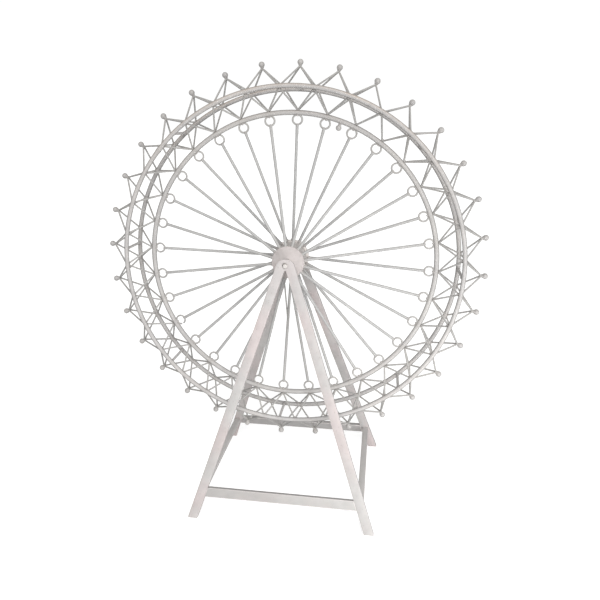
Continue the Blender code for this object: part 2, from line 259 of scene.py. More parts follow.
def new_group(name, inputs, outputs):
    """A shader node group with its named sockets, and its two end nodes."""
    tree = bpy.data.node_groups.new(name, "ShaderNodeTree")
    for title, kind, value in inputs:
        socket = tree.interface.new_socket(name=title, in_out="INPUT", socket_type=kind)
        socket.default_value = value
    for title, kind in outputs:
        tree.interface.new_socket(name=title, in_out="OUTPUT", socket_type=kind)
    return tree, tree.nodes.new("NodeGroupInput").outputs, tree.nodes.new("NodeGroupOutput").inputs


def feed(tree, socket, value):
    if isinstance(value, bpy.types.NodeSocket):
        tree.links.new(value, socket)
    else:
        socket.default_value = value


def noise(tree, at, scale, detail=3.0):
    made = tree.nodes.new("ShaderNodeTexNoise")
    feed(tree, made.inputs["Vector"], at)
    feed(tree, made.inputs["Scale"], scale)
    made.inputs["Detail"].default_value = detail
    return made.outputs["Fac"]


def between(tree, value, low, high, to_low=0.0, to_high=1.0):
    """A value stretched from one range to another, and kept inside it."""
    made = tree.nodes.new("ShaderNodeMapRange")
    feed(tree, made.inputs["Value"], value)
    for title, number in (("From Min", low), ("From Max", high), ("To Min", to_low), ("To Max", to_high)):
        feed(tree, made.inputs[title], number)
    return made.outputs["Result"]


def reckon(tree, operation, first, second):
    made = tree.nodes.new("ShaderNodeMath")
    made.operation = operation
    feed(tree, made.inputs[0], first)
    feed(tree, made.inputs[1], second)
    return made.outputs["Value"]


def blend(tree, mask, under, over):
    """One colour over another, where the mask is white."""
    made = tree.nodes.new("ShaderNodeMix")
    made.data_type = "RGBA"
    sockets = {socket.identifier: socket for socket in made.inputs}
    feed(tree, sockets["Factor_Float"], mask)
    feed(tree, sockets["A_Color"], under)
    feed(tree, sockets["B_Color"], over)
    return next(socket for socket in made.outputs if socket.identifier == "Result_Color")


def scaled_colour(tree, colour, factor):
    made = tree.nodes.new("ShaderNodeVectorMath")
    made.operation = "SCALE"
    feed(tree, made.inputs[0], colour)
    feed(tree, made.inputs["Scale"], factor)
    return made.outputs["Vector"]


print("a colour or a value can be fed to any socket")

# %% [markdown]
# The first group is the paint itself: a colour with cloudy patches of a second one, a few
# freckles where the steel spots through, and the faint orange peel of sprayed paint as a
# height.

# %% A group for aged paint
MOTTLE_SCALE = 70.0
FRECKLE_SCALE = 330.0
GLOSS_SCALE = 150.0
PEEL_SCALE = 620.0
RUN_SCALE = 90.0


def aged_paint_group():
    grey = (0.5, 0.5, 0.5, 1)
    inputs = [("Paint", COLOUR, grey), ("Patch", COLOUR, grey), ("Patch scale", NUMBER, 12.0),
              ("Freckle", COLOUR, grey), ("Freckle amount", NUMBER, 0.5), ("Roughness", NUMBER, 0.5)]
    outputs = [("Color", COLOUR), ("Roughness", NUMBER), ("Height", NUMBER)]
    tree, given, result = new_group("aged_paint", inputs, outputs)
    at = tree.nodes.new("ShaderNodeTexCoord").outputs["Object"]
    patches = between(tree, noise(tree, at, given["Patch scale"]), 0.42, 0.6)
    colour = blend(tree, patches, given["Paint"], given["Patch"])
    mottle = between(tree, noise(tree, at, MOTTLE_SCALE), 0.3, 0.7, 0.94, 1.05)
    colour = scaled_colour(tree, colour, mottle)
    spots = between(tree, noise(tree, at, FRECKLE_SCALE, 2.0), 0.66, 0.71)
    freckled = reckon(tree, "MULTIPLY", spots, given["Freckle amount"])
    tree.links.new(blend(tree, freckled, colour, given["Freckle"]), result["Color"])
    uneven = between(tree, noise(tree, at, GLOSS_SCALE), 0.3, 0.7, -0.08, 0.1)
    tree.links.new(reckon(tree, "ADD", given["Roughness"], uneven), result["Roughness"])
    peel = noise(tree, at, PEEL_SCALE, 2.0)
    runs = noise(tree, at, RUN_SCALE, 2.0)
    tree.links.new(reckon(tree, "ADD", peel, runs), result["Height"])
    return tree


AGED_PAINT = aged_paint_group()
print("group", AGED_PAINT.name, "puts out", [item.name for item in AGED_PAINT.interface.items_tree][:3])

# %% [markdown]
# Two groups give masks of dirt. One is high near a weld, where the flux burnt and the brush
# left a brown tinge: it reads a number kept in every point of the mesh, and breaks it up
# with noise. The other is high on the upper side of a rod, where dust settles and yellows.

# %% Groups for weld stain and settled dust
STAIN_SCALE = 210.0
DUST_SCALE = 14.0


def weld_stain_group():
    tree, given, result = new_group("weld_stain", [("Amount", NUMBER, 1.0)], [("Mask", NUMBER)])
    near = tree.nodes.new("ShaderNodeAttribute")
    near.attribute_name = "near_weld"
    at = tree.nodes.new("ShaderNodeTexCoord").outputs["Object"]
    broken = between(tree, noise(tree, at, STAIN_SCALE), 0.3, 0.62)
    mask = reckon(tree, "MULTIPLY", near.outputs["Fac"], broken)
    tree.links.new(reckon(tree, "MULTIPLY", mask, given["Amount"]), result["Mask"])
    return tree


def split_z(tree, vector):
    made = tree.nodes.new("ShaderNodeSeparateXYZ")
    tree.links.new(vector, made.inputs["Vector"])
    return made.outputs["Z"]


def settled_dust_group():
    inputs = [("Amount", NUMBER, 1.0), ("Bare below", NUMBER, -1.0), ("Full above", NUMBER, -0.5)]
    tree, given, result = new_group("settled_dust", inputs, [("Mask", NUMBER)])
    coordinates = tree.nodes.new("ShaderNodeTexCoord").outputs
    upper = between(tree, split_z(tree, coordinates["Normal"]), -0.2, 0.7)
    high = between(tree, split_z(tree, coordinates["Object"]), given["Bare below"], given["Full above"])
    cloudy = between(tree, noise(tree, coordinates["Object"], DUST_SCALE), 0.35, 0.6, 0.4, 1.0)
    mask = reckon(tree, "MULTIPLY", reckon(tree, "MULTIPLY", upper, high), cloudy)
    tree.links.new(reckon(tree, "MULTIPLY", mask, given["Amount"]), result["Mask"])
    return tree


WELD_STAIN = weld_stain_group()
SETTLED_DUST = settled_dust_group()
print("masks:", WELD_STAIN.name, SETTLED_DUST.name)

# %% [markdown]
# A painted metal lays these over each other: the paint, then dust, then weld stain. On thick
# rod it also paints shade at the sides: its colour falls off where it turns away from the
# camera and rises a little where it faces it, a painted reflection of a darker room that
# this white studio can't give it. The shine is a plain number of the shader's own.

# %% Build a painted metal
BUMP_HEIGHT = 0.12 * MM
STAIN = (0.25, 0.225, 0.205)
FRECKLE = (0.30, 0.265, 0.24)
FACES_US = 0.15
TURNS_AWAY = 0.75
SHINE = 0.4


def group_node(tree, group):
    made = tree.nodes.new("ShaderNodeGroup")
    made.node_tree = group
    return made


def painted_metal(name, paint, patch, dust, dust_amount=0.5, dust_height=(-1.0, -0.5), stain_amount=0.6,
                  freckle_amount=0.5, patch_scale=11.0, roughness=0.5, facing_painted_light=1.0, side_painted_shade=1.0):
    material = bpy.data.materials.new(name)
    material.use_nodes = True
    tree = material.node_tree
    shader = tree.nodes["Principled BSDF"]
    base = group_node(tree, AGED_PAINT)
    for title, colour in (("Paint", paint), ("Patch", patch), ("Freckle", FRECKLE)):
        base.inputs[title].default_value = (*colour, 1)
    base.inputs["Patch scale"].default_value = patch_scale
    base.inputs["Freckle amount"].default_value = freckle_amount
    base.inputs["Roughness"].default_value = roughness
    settled = group_node(tree, SETTLED_DUST)
    settled.inputs["Amount"].default_value = dust_amount
    settled.inputs["Bare below"].default_value, settled.inputs["Full above"].default_value = dust_height
    colour = blend(tree, settled.outputs["Mask"], base.outputs["Color"], (*dust, 1))
    stained = group_node(tree, WELD_STAIN)
    stained.inputs["Amount"].default_value = stain_amount
    colour = blend(tree, stained.outputs["Mask"], colour, (*STAIN, 1))
    # Painted shade and light: the colour is scaled down where the rod turns from the camera, and a little
    # up where it faces it.
    turned_away = tree.nodes.new("ShaderNodeLayerWeight").outputs["Facing"]
    painted_light_and_shade = between(tree, turned_away, FACES_US, TURNS_AWAY, facing_painted_light, side_painted_shade)
    tree.links.new(scaled_colour(tree, colour, painted_light_and_shade), shader.inputs["Base Color"])
    tree.links.new(base.outputs["Roughness"], shader.inputs["Roughness"])
    bump = tree.nodes.new("ShaderNodeBump")
    bump.inputs["Distance"].default_value = BUMP_HEIGHT
    tree.links.new(base.outputs["Height"], bump.inputs["Height"])
    tree.links.new(bump.outputs["Normal"], shader.inputs["Normal"])
    shader.inputs["Specular IOR Level"].default_value = SHINE
    material.diffuse_color = (*paint, 1)
    return material


print("paint, dust and stain over steel, with a bump of", BUMP_HEIGHT, "m")

# %% [markdown]
# A finish is then a list of values. The stand is pinkish white and grows darker towards the
# floor, the hub a little warmer, the hoops tan on top, and the thin wire greyer, since a brush
# leaves less paint on it. The edges of the bars get a thin, rubbed coat, and the welds a rough
# brownish one. The cross bars get darker paint, painted shade, the back one darker still. The
# drum, the back disc, the ties and the side bars sit in shade, so theirs is mixed paler,
# painted light, to read as the same white.

# %% Mix the paints
# On the stand the mask is turned round: its upward faces grow darker towards the floor.
STAND_PAINT = painted_metal("stand_paint", (0.52, 0.462, 0.456), (0.49, 0.476, 0.467), (0.34, 0.325, 0.31),
                            dust_amount=1.2, dust_height=(0.42, 0.0), patch_scale=9.0, roughness=0.45)
# Painted shade: the cross bars take darker copies of the stand's white, the back one darker still.
FRONT_BAR_PAINTED_SHADE = painted_metal("front_bar_painted_shade_paint", (0.41, 0.388, 0.378), (0.395, 0.385, 0.375), (0.45, 0.43, 0.415),
                          roughness=0.45)
BACK_BAR_PAINTED_SHADE = painted_metal("back_bar_painted_shade_paint", (0.38, 0.36, 0.355), (0.36, 0.35, 0.345), (0.33, 0.31, 0.30),
                              roughness=0.5)
EDGE_PAINT = painted_metal("edge_paint", (0.60, 0.565, 0.55), (0.62, 0.59, 0.575), (0.45, 0.43, 0.42),
                           freckle_amount=0.8, patch_scale=60.0)
HUB_PAINT = painted_metal("hub_paint", (0.57, 0.505, 0.50), (0.55, 0.51, 0.50), (0.47, 0.43, 0.40))
# Painted light: the drum, back disc, ties and side bars take paler copies of the white, against the shade
# they sit in.
DRUM_PAINTED_LIGHT = painted_metal("drum_painted_light_paint", (0.74, 0.70, 0.675), (0.67, 0.635, 0.61), (0.60, 0.56, 0.53))
PALE_PAINTED_LIGHT = painted_metal("pale_painted_light_paint", (0.62, 0.60, 0.59), (0.58, 0.565, 0.55), (0.56, 0.54, 0.52))
# The hoops get painted shade at their sides and a little painted light in the middle.
HOOP_PAINT = painted_metal("hoop_paint", (0.445, 0.432, 0.425), (0.475, 0.455, 0.44), (0.53, 0.45, 0.385),
                           dust_amount=0.9, dust_height=(0.55, 0.7), facing_painted_light=1.04, side_painted_shade=0.62)
INNER_PAINT = painted_metal("inner_paint", (0.43, 0.417, 0.409), (0.455, 0.44, 0.425), (0.47, 0.425, 0.39),
                            dust_amount=0.7, dust_height=(0.55, 0.7), facing_painted_light=1.04, side_painted_shade=0.62)
SPOKE_PAINT = painted_metal("spoke_paint", (0.41, 0.407, 0.403), (0.435, 0.43, 0.42), (0.41, 0.40, 0.39))
WIRE_PAINT = painted_metal("wire_paint", (0.385, 0.379, 0.37), (0.42, 0.41, 0.395), (0.41, 0.39, 0.37))
BALL_PAINT = painted_metal("ball_paint", (0.435, 0.425, 0.42), (0.47, 0.455, 0.44), (0.45, 0.425, 0.405),
                           roughness=0.38)
WELD_PAINT = painted_metal("weld_paint", (0.42, 0.40, 0.39), (0.45, 0.43, 0.42), (0.40, 0.38, 0.36),
                           freckle_amount=1.0, patch_scale=160.0, roughness=0.6)
AXLE_STEEL = painted_metal("axle_steel", (0.60, 0.57, 0.55), (0.50, 0.47, 0.44), (0.5, 0.46, 0.42),
                           patch_scale=90.0, roughness=0.4)
print("paints:", [material.name for material in bpy.data.materials if material.name.endswith("_paint")])

# %% [markdown]
# All of the wheel is round rod, so each wire, ring and hoop begins as one small circle
# that is drawn out as a wire is drawn through a die: extruded along its straight runs and
# spun about a centre at each bend. A bevelled curve would be quicker, but it pinches at
# the corners and its points lie unevenly, and stains are later kept in those points.

# %% Start, draw, bend and close a wire
WIRE_SIDES = 8
DRAW_STEP = 6 * MM
BEND_STEPS = 6


def clear_selection():
    bpy.ops.object.select_all(action="DESELECT")


def select_only(piece):
    clear_selection()
    piece.select_set(True)
    bpy.context.view_layer.objects.active = piece


def start_wire(name, place, heading, radius, sides=WIRE_SIDES):
    """One round section, left in edit mode and selected, ready to be drawn out."""
    clear_selection()
    turn = heading.to_track_quat("Z", "Y").to_euler()
    bpy.ops.mesh.primitive_circle_add(vertices=sides, radius=radius, location=place, rotation=turn)
    wire = bpy.context.object
    wire.name = name
    bpy.ops.object.transform_apply()
    bpy.ops.object.mode_set(mode="EDIT")
    bpy.ops.mesh.select_all(action="SELECT")
    return wire


def draw_out(run):
    steps = max(1, round(run.length / DRAW_STEP))
    for _ in range(steps):
        bpy.ops.mesh.extrude_region_move(TRANSFORM_OT_translate={"value": run / steps})


def face_outwards():
    bpy.ops.mesh.select_all(action="SELECT")
    bpy.ops.mesh.normals_make_consistent(inside=False)
    bpy.ops.object.mode_set(mode="OBJECT")


def close_ends():
    bpy.ops.mesh.select_all(action="SELECT")
    bpy.ops.mesh.fill_holes(sides=0)
    face_outwards()


def bent_wire(name, corners, radius, bend_radius):
    """A wire through a list of corners, each rounded to a bend radius."""
    heading = (corners[1] - corners[0]).normalized()
    wire = start_wire(name, corners[0], heading, radius)
    place = corners[0]
    for corner, following in zip(corners[1:], corners[2:]):
        next_heading = (following - corner).normalized()
        turn = heading.angle(next_heading)
        set_back = bend_radius * math.tan(turn / 2)
        draw_out(corner - heading * set_back - place)
        axis = heading.cross(next_heading).normalized()
        centre = corner - heading * set_back + axis.cross(heading) * bend_radius
        bpy.ops.mesh.spin(steps=BEND_STEPS, angle=-turn, center=centre, axis=axis)
        place = corner + next_heading * set_back
        heading = next_heading
    draw_out(corners[-1] - place)
    close_ends()
    return wire


def spun_ring(name, centre, radius, rod, steps, sides=WIRE_SIDES):
    """A closed ring of round rod, facing along the axle."""
    ring = start_wire(name, centre + Vector((radius, 0, 0)), Vector((0, 0, 1)), rod, sides)
    bpy.ops.mesh.spin(steps=steps, angle=2 * math.pi, center=centre, axis=(0, 1, 0))
    face_outwards()
    return ring


print("a bend is spun in", BEND_STEPS, "steps")

# %% [markdown]
# The tools of edit mode act on what is selected. A hand clicks on it, and a script goes
# over the points, edges or faces and selects those whose place passes a test.

# %% Pick points, edges or faces
def pick(piece, kind, wanted):
    """Select, in edit mode, what is wanted of one kind."""
    bpy.ops.mesh.select_mode(type=kind)
    bpy.ops.mesh.select_all(action="DESELECT")
    mesh = bmesh.from_edit_mesh(piece.data)
    for item in {"VERT": mesh.verts, "EDGE": mesh.edges, "FACE": mesh.faces}[kind]:
        item.select = wanted(item)
    mesh.select_flush_mode()
    bmesh.update_edit_mesh(piece.data)


def pick_points(piece, wanted):
    pick(piece, "VERT", lambda point: wanted(point.co))


def pick_edges(piece, wanted):
    pick(piece, "EDGE", lambda edge: wanted(edge.verts[0].co, edge.verts[1].co))


def pick_faces(piece, wanted):
    pick(piece, "FACE", lambda face: wanted(face.normal, face.calc_center_median()))


print("points, edges and faces are picked by their place")

# %% [markdown]
# What repeats is modelled once and copied. A copy has its own mesh, and copies that belong
# to one welded assembly are joined, as the real ones are. Hand work is never even, so each
# bay of the wheel is turned by its own small amount, the same for all that is in the bay.

# %% Copy round the wheel and join
BAY_WANDER = math.radians(0.13)
random.seed(32)
bay_wander = [random.uniform(-BAY_WANDER, BAY_WANDER) for _ in range(BAYS)]


def about_hub(angle):
    return Matrix.Translation(HUB) @ Matrix.Rotation(angle, 4, "Y") @ Matrix.Translation(-HUB)


def to_bay(bay):
    return about_hub(bay * PITCH + bay_wander[bay % BAYS])


def copied(piece, matrix):
    """A copy of a piece, with its own mesh, moved and turned by a matrix."""
    select_only(piece)
    bpy.ops.object.duplicate()
    copy = bpy.context.object
    copy.matrix_world = matrix
    return copy


def joined(name, pieces):
    clear_selection()
    for piece in pieces:
        piece.select_set(True)
    bpy.context.view_layer.objects.active = pieces[0]
    bpy.context.view_layer.update()
    bpy.ops.object.transform_apply()
    if len(pieces) > 1:
        bpy.ops.object.join()
    whole = bpy.context.object
    whole.name = name
    return whole


def painted(piece, *paints):
    for paint in paints:
        piece.data.materials.append(paint)
    return piece


def thrown_away(*pieces):
    for piece in pieces:
        bpy.data.objects.remove(piece)


print("bays wander by up to", round(math.degrees(BAY_WANDER), 2), "degrees")

# %% [markdown]
# Thin wire is joined to rod with a blob of weld, which stands up as a small uneven lump.
# One lump is modelled from a ball by pushing its points about a little. Its copies are
# turned at random, so no two show the same side, and the place of each is kept in a list,
# because the paint is dirtier round a weld.

# %% Model one lump of weld
LUMP_RADIUS = 1 * MM
LUMP_UNEVENNESS = 0.12 * MM
LUMP_STRETCH = (1.0, 1.25, 0.85)
LUMP_ROLL = 2 * math.pi
LUMP_TURN = 6
weld_places = []


def weld_lump_pattern():
    clear_selection()
    bpy.ops.mesh.primitive_ico_sphere_add(subdivisions=2, radius=LUMP_RADIUS)
    lump = bpy.context.object
    lump.name = "weld_lump"
    bpy.ops.object.mode_set(mode="EDIT")
    bpy.ops.mesh.select_all(action="SELECT")
    bpy.ops.transform.vertex_random(offset=LUMP_UNEVENNESS, seed=5)
    bpy.ops.transform.resize(value=LUMP_STRETCH)
    bpy.ops.object.mode_set(mode="OBJECT")
    return lump


lump_pattern = painted(weld_lump_pattern(), WELD_PAINT)


def weld(place, radius):
    """A lump of weld at a place, turned at random."""
    weld_places.append(place)
    roll = Matrix.Rotation(random.uniform(0, LUMP_ROLL), 4, "X")
    turn = Matrix.Rotation(random.uniform(0, LUMP_TURN), 4, "Z")
    size = Matrix.Scale(radius / LUMP_RADIUS, 4)
    return copied(lump_pattern, Matrix.Translation(place) @ roll @ turn @ size)


print("a lump has", len(lump_pattern.data.polygons), "faces")

# %% [markdown]
# The two outer hoops are heavy rod rolled into a circle and closed with a butt weld. A
# circle spun round the axle gives the rod, and one ring of its points is swollen where the
# ends were welded together. Each was tacked on by eye, so each is a little off centre.

# %% Roll the outer hoops
HOOP_STEPS = 384
HOOP_SIDES = 16
BUTT_SWELLING = 0.55 * MM
FRONT_GROWTH = 0.7 * MM
FRONT_SHIFT = Vector((1.3, 0, 0.7)) * MM
FRONT_BUTT = 27.3
BACK_BUTT = 5.7
BACK_SHIFT = Vector((-0.3, 0, -1.0)) * MM


def rolled_hoop(name, radius, shift, rod, butt_bay, paint):
    """A hoop of round rod about the axle, swollen where its ends were welded."""
    hoop = spun_ring(name, HUB + shift, radius, rod, HOOP_STEPS, HOOP_SIDES)
    butt = on_wheel(radius, 0, butt_bay) + shift
    step = 2 * math.pi * radius / HOOP_STEPS
    bpy.ops.object.mode_set(mode="EDIT")
    pick_points(hoop, lambda co: (co - butt).length < rod + step / 2)
    bpy.ops.transform.shrink_fatten(value=BUTT_SWELLING)
    bpy.ops.object.mode_set(mode="OBJECT")
    weld_places.append(butt)
    return painted(hoop, paint)


to_back = Vector((0, HOOP_OFFSET, 0))
front_hoop = rolled_hoop("front_hoop_rod", OUTER_HOOP + FRONT_GROWTH, FRONT_SHIFT - to_back,
                         HOOP_ROD, FRONT_BUTT, HOOP_PAINT)
back_hoop = rolled_hoop("back_hoop_rod", OUTER_HOOP, BACK_SHIFT + to_back,
                        HOOP_ROD, BACK_BUTT, HOOP_PAINT)
print("hoops are closed in", HOOP_STEPS, "steps")

# %% [markdown]
# Eight short rods hold the outer hoops apart. Each is drawn out across the gap and welded
# at both ends, where the lumps are larger than those on the thin wire.

# %% Tie the outer hoops together
TIE_ROD = 2.4 * MM
TIE_SIDES = 12
TIE_WELD = 3.1 * MM
TIE_SEAT = 1 * MM


def hoop_tie(number):
    bay = (number - 1) * BAYS_PER_SECTOR
    reach = HOOP_OFFSET - HOOP_ROD + TIE_SEAT
    end = on_wheel(OUTER_HOOP, -reach, bay)
    tie = start_wire(f"hoop_tie_rod_{number}", end, Vector((0, 1, 0)), TIE_ROD, TIE_SIDES)
    draw_out(Vector((0, 2 * reach, 0)))
    close_ends()
    lumps = [weld(on_wheel(OUTER_HOOP, side * (reach - TIE_SEAT), bay), TIE_WELD) for side in (-1, 1)]
    # The tie takes the paler paint, painted light against its shade.
    return joined(tie.name, [painted(tie, PALE_PAINTED_LIGHT)] + lumps)


ties = [hoop_tie(number) for number in range(1, SECTORS + 1)]
print(len(ties), "ties of", round(2 * TIE_ROD * 1000, 1), "mm rod")

# %% [markdown]
# The lacing is thin wire bent into V shapes. In each bay one V stands on the front hoop and
# one on the back hoop, and their points lean together under a ball. A second pair points
# inwards to the inner hoop. A bend eats the corner of a V, so the corner is set a little
# further out than its point.

# %% Bend one bay of lacing
BEND_RADIUS = 2 * MM
CORNER_LOSS = 1.5 * MM
FOOT_SPREAD = 1.4 * MM
FOOT_DEPTH = 0.5 * MM
APEX_BELOW_BALL = 2.5 * MM
WEB_SEAT = 0.7
APEX = BALL_CIRCLE - BALL_RADIUS - APEX_BELOW_BALL
WEB_PEAK = INNER_HOOP + INNER_ROD + LACING_WIRE * WEB_SEAT


def foot_place(side, bay, aim_radius):
    """Where a wire's foot is welded to an outer hoop, on the side that faces its point."""
    inwards = Vector((aim_radius - OUTER_HOOP, HOOP_OFFSET)).normalized()
    seat = HOOP_ROD - FOOT_DEPTH
    return on_wheel(OUTER_HOOP + inwards.x * seat, side * (HOOP_OFFSET - inwards.y * seat), bay)


def lacing_v(name, side, peak_radius):
    """A V of wire that stands on one outer hoop, in bay 0."""
    outwards = 1 if peak_radius > OUTER_HOOP else -1
    corner = on_wheel(peak_radius + outwards * CORNER_LOSS, side * LACING_WIRE, 0)
    spread = FOOT_SPREAD / OUTER_HOOP / PITCH
    feet = [foot_place(side, bay, peak_radius) for bay in (-0.5 + spread, 0.5 - spread)]
    wire = bent_wire(name, [feet[0], corner, feet[1]], LACING_WIRE, BEND_RADIUS)
    return painted(wire, WIRE_PAINT)


crown_vs = [lacing_v("crown_v", side, APEX) for side in (-1, 1)]
web_vs = [lacing_v("web_v", side, WEB_PEAK) for side in (-1, 1)]
print("points at", round(APEX, 4), "and", round(WEB_PEAK, 4))

# %% [markdown]
# Each point of the crown carries a steel ball. A ball that has been welded on isn't quite
# round: the weld pulls it out into a short neck. The neck is made by moving the points of
# the sphere that face the axle, and a stub of rod is drawn out of it down to the wires.

# %% Weld a ball on a neck
BALL_SEGMENTS = 20
BALL_RINGS = 12
NECK_PULL = 1.6 * MM
NECK_LIMIT = 0.8
STUB_ROD = 1.8 * MM
STUB_OVERLAP = 1.5 * MM
STUB_LENGTH = 3.8 * MM


def ball_on_neck(centre, up, radius):
    """A ball at a place, with its neck and stub on the side away from up."""
    clear_selection()
    tilt = up.to_track_quat("Z", "Y").to_euler()
    bpy.ops.mesh.primitive_uv_sphere_add(segments=BALL_SEGMENTS, ring_count=BALL_RINGS,
                                         radius=radius, location=centre, rotation=tilt)
    ball = bpy.context.object
    bpy.ops.object.transform_apply()
    bpy.ops.object.mode_set(mode="EDIT")
    pick_points(ball, lambda co: (co - centre).dot(up) < -NECK_LIMIT * radius)
    bpy.ops.transform.translate(value=-up * NECK_PULL)
    bpy.ops.object.mode_set(mode="OBJECT")
    stub = start_wire("stub", centre - up * (radius - STUB_OVERLAP), -up, STUB_ROD)
    draw_out(-up * (STUB_LENGTH + STUB_OVERLAP))
    close_ends()
    return joined("ball", [painted(ball, BALL_PAINT), painted(stub, BALL_PAINT)])


outwards = (on_wheel(BALL_CIRCLE, 0, 0) - HUB).normalized()
ball = ball_on_neck(on_wheel(BALL_CIRCLE, 0, 0), outwards, BALL_RADIUS)
print("a ball has", len(ball.data.polygons), "faces")

# %% [markdown]
# Four bays of wire, balls and welds make one sector of the crown, and eight sectors go
# round the wheel. The sectors of the web inside the hoops are made in the same way, with
# lumps of weld at their points in place of balls.

# %% Copy the lacing into sectors
FOOT_WELD = 2.0 * MM
POINT_WELD = 2.1 * MM


def crown_sector(number):
    parts = []
    for bay in range((number - 1) * BAYS_PER_SECTOR, number * BAYS_PER_SECTOR):
        parts += [copied(wire, to_bay(bay)) for wire in crown_vs + [ball]]
        parts += [weld(foot_place(side, bay + 0.5, APEX), FOOT_WELD) for side in (-1, 1)]
        weld_places.append(on_wheel(BALL_CIRCLE - BALL_RADIUS, 0, bay))
    return joined(f"crown_wires_{number}", parts)


def web_sector(number):
    parts = []
    for bay in range((number - 1) * BAYS_PER_SECTOR, number * BAYS_PER_SECTOR):
        parts += [copied(wire, to_bay(bay)) for wire in web_vs]
        parts += [weld(foot_place(side, bay + 0.5, WEB_PEAK), FOOT_WELD) for side in (-1, 1)]
        parts.append(weld(to_bay(bay) @ on_wheel(WEB_PEAK, 0, 0), POINT_WELD))
    return joined(f"web_wires_{number}", parts)


crowns = [crown_sector(number) for number in range(1, SECTORS + 1)]
webs = [web_sector(number) for number in range(1, SECTORS + 1)]
thrown_away(ball, *crown_vs, *web_vs)
print("one crown sector has", len(crowns[0].data.polygons), "faces")

# %% [markdown]
# Inside the inner hoop hangs one small wire ring for each spoke. The ring is wire wound
# round a bar and cut, so it is truly round, and it is welded to the hoop at its top and to
# the spoke at its bottom. One of them sprang open at its cut and was left so. A single
# ball also hangs between two rings, where a light or a flag would be tied.

# %% Hang the rings in the inner hoop
RING_WIRE = 1.6 * MM
RING_RADIUS = 8.0 * MM
RING_STEPS = 32
RING_LAP = 2.4 * MM
RING_CENTRE = INNER_HOOP - INNER_ROD + RING_LAP - RING_WIRE - RING_RADIUS
RING_WELD = 2.2 * MM
OPEN_RING_BAY = 21
OPENING_TOWARDS = Vector((0.77, 0, -0.64))
OPENING = math.radians(24)
HUNG_BALL_RADIUS = 4.7 * MM
HUNG_BALL_WELD = 2.8 * MM
HUNG_BALL_CIRCLE = 238.5 * MM
HUNG_BALL_BAY = 1.49
INNER_BUTT = 13.45


def open_ring():
    """The ring that sprang open, already in its bay."""
    centre = to_bay(OPEN_RING_BAY) @ on_wheel(RING_CENTRE, 0, 0)
    start = centre + Matrix.Rotation(OPENING / 2, 3, "Y") @ OPENING_TOWARDS * RING_RADIUS
    heading = Vector((0, 1, 0)).cross(start - centre).normalized()
    ring = start_wire("open_ring", start, heading, RING_WIRE)
    bpy.ops.mesh.spin(steps=RING_STEPS, angle=2 * math.pi - OPENING, center=centre, axis=(0, 1, 0))
    close_ends()
    return painted(ring, WIRE_PAINT)


def hung_ball():
    centre = on_wheel(HUNG_BALL_CIRCLE, 0, HUNG_BALL_BAY)
    hung = ball_on_neck(centre, (HUB - centre).normalized(), HUNG_BALL_RADIUS)
    return [hung, weld(on_wheel(INNER_HOOP - INNER_ROD, 0, HUNG_BALL_BAY), HUNG_BALL_WELD)]


inner_hoop = rolled_hoop("inner_hoop_rod", INNER_HOOP, Vector(), INNER_ROD, INNER_BUTT, INNER_PAINT)
ring = spun_ring("ring", on_wheel(RING_CENTRE, 0, 0), RING_RADIUS, RING_WIRE, RING_STEPS)
painted(ring, WIRE_PAINT)
rings = [copied(ring, to_bay(bay)) for bay in range(BAYS) if bay != OPEN_RING_BAY]
seat = on_wheel(INNER_HOOP - INNER_ROD, 0, 0)
rings += [weld(to_bay(bay) @ seat, RING_WELD) for bay in range(BAYS)]
thrown_away(ring)
inner_hoop = joined("inner_hoop_rod", [inner_hoop, open_ring()] + rings + hung_ball())
print("ring centres at", round(RING_CENTRE, 4))

# %% [markdown]
# The hub is a spool: two thick discs on a drum, all with a bore for the tube that turns on
# the axle. A disc starts as a short cylinder. Its faces are inset down to the bore, the two
# middles are deleted, and bridging the rims left behind makes the bore's wall.

# %% Turn the hub
DISC_SIDES = 96
FRONT_DISC_RADIUS = 28 * MM
BACK_DISC_RADIUS = 30 * MM
DISC_THICKNESS = 5 * MM
DISC_OUTER_FACE = 27 * MM
TUBE_RADIUS = 6 * MM
RIM_ROUND = 0.9 * MM
RIM_STEPS = 4
NEARLY = 0.9


def bored_disc(name, radius, bore, low, high, rim_round, paint):
    """A disc with a bore and softened rims, about the axle."""
    clear_selection()
    bpy.ops.mesh.primitive_cylinder_add(vertices=DISC_SIDES, radius=radius, depth=high - low,
                                        location=HUB + Vector((0, (low + high) / 2, 0)),
                                        rotation=(math.radians(90), 0, 0))
    disc = bpy.context.object
    disc.name = name
    bpy.ops.object.transform_apply()
    bpy.ops.object.mode_set(mode="EDIT")
    halfway = (bore + radius) / 2

    def is_cap(normal, at):
        return abs(normal.y) > NEARLY and math.hypot(at.x - HUB.x, at.z - HUB.z) < bore / 2

    def is_outer_rim(a, b):
        level_edge = abs(a.y - b.y) < MM / 10
        return level_edge and min((p - HUB).xz.length for p in (a, b)) > halfway

    pick_faces(disc, is_cap)
    bpy.ops.mesh.inset(thickness=radius - bore)
    bpy.ops.mesh.delete(type="FACE")
    pick_edges(disc, lambda a, b: max((p - HUB).xz.length for p in (a, b)) < halfway)
    bpy.ops.mesh.bridge_edge_loops()
    pick_edges(disc, is_outer_rim)
    bpy.ops.mesh.bevel(offset=rim_round, segments=RIM_STEPS, affect="EDGES")
    face_outwards()
    return painted(disc, paint)


front_disc = bored_disc("front_disc", FRONT_DISC_RADIUS, TUBE_RADIUS, -DISC_OUTER_FACE,
                        -DISC_OUTER_FACE + DISC_THICKNESS, RIM_ROUND, HUB_PAINT)
# The back disc takes the drum's paler paint, painted light against its shade.
back_disc = bored_disc("back_disc", BACK_DISC_RADIUS, TUBE_RADIUS, DISC_OUTER_FACE - DISC_THICKNESS,
                       DISC_OUTER_FACE, RIM_ROUND, DRUM_PAINTED_LIGHT)
print("disc faces", len(front_disc.data.polygons))

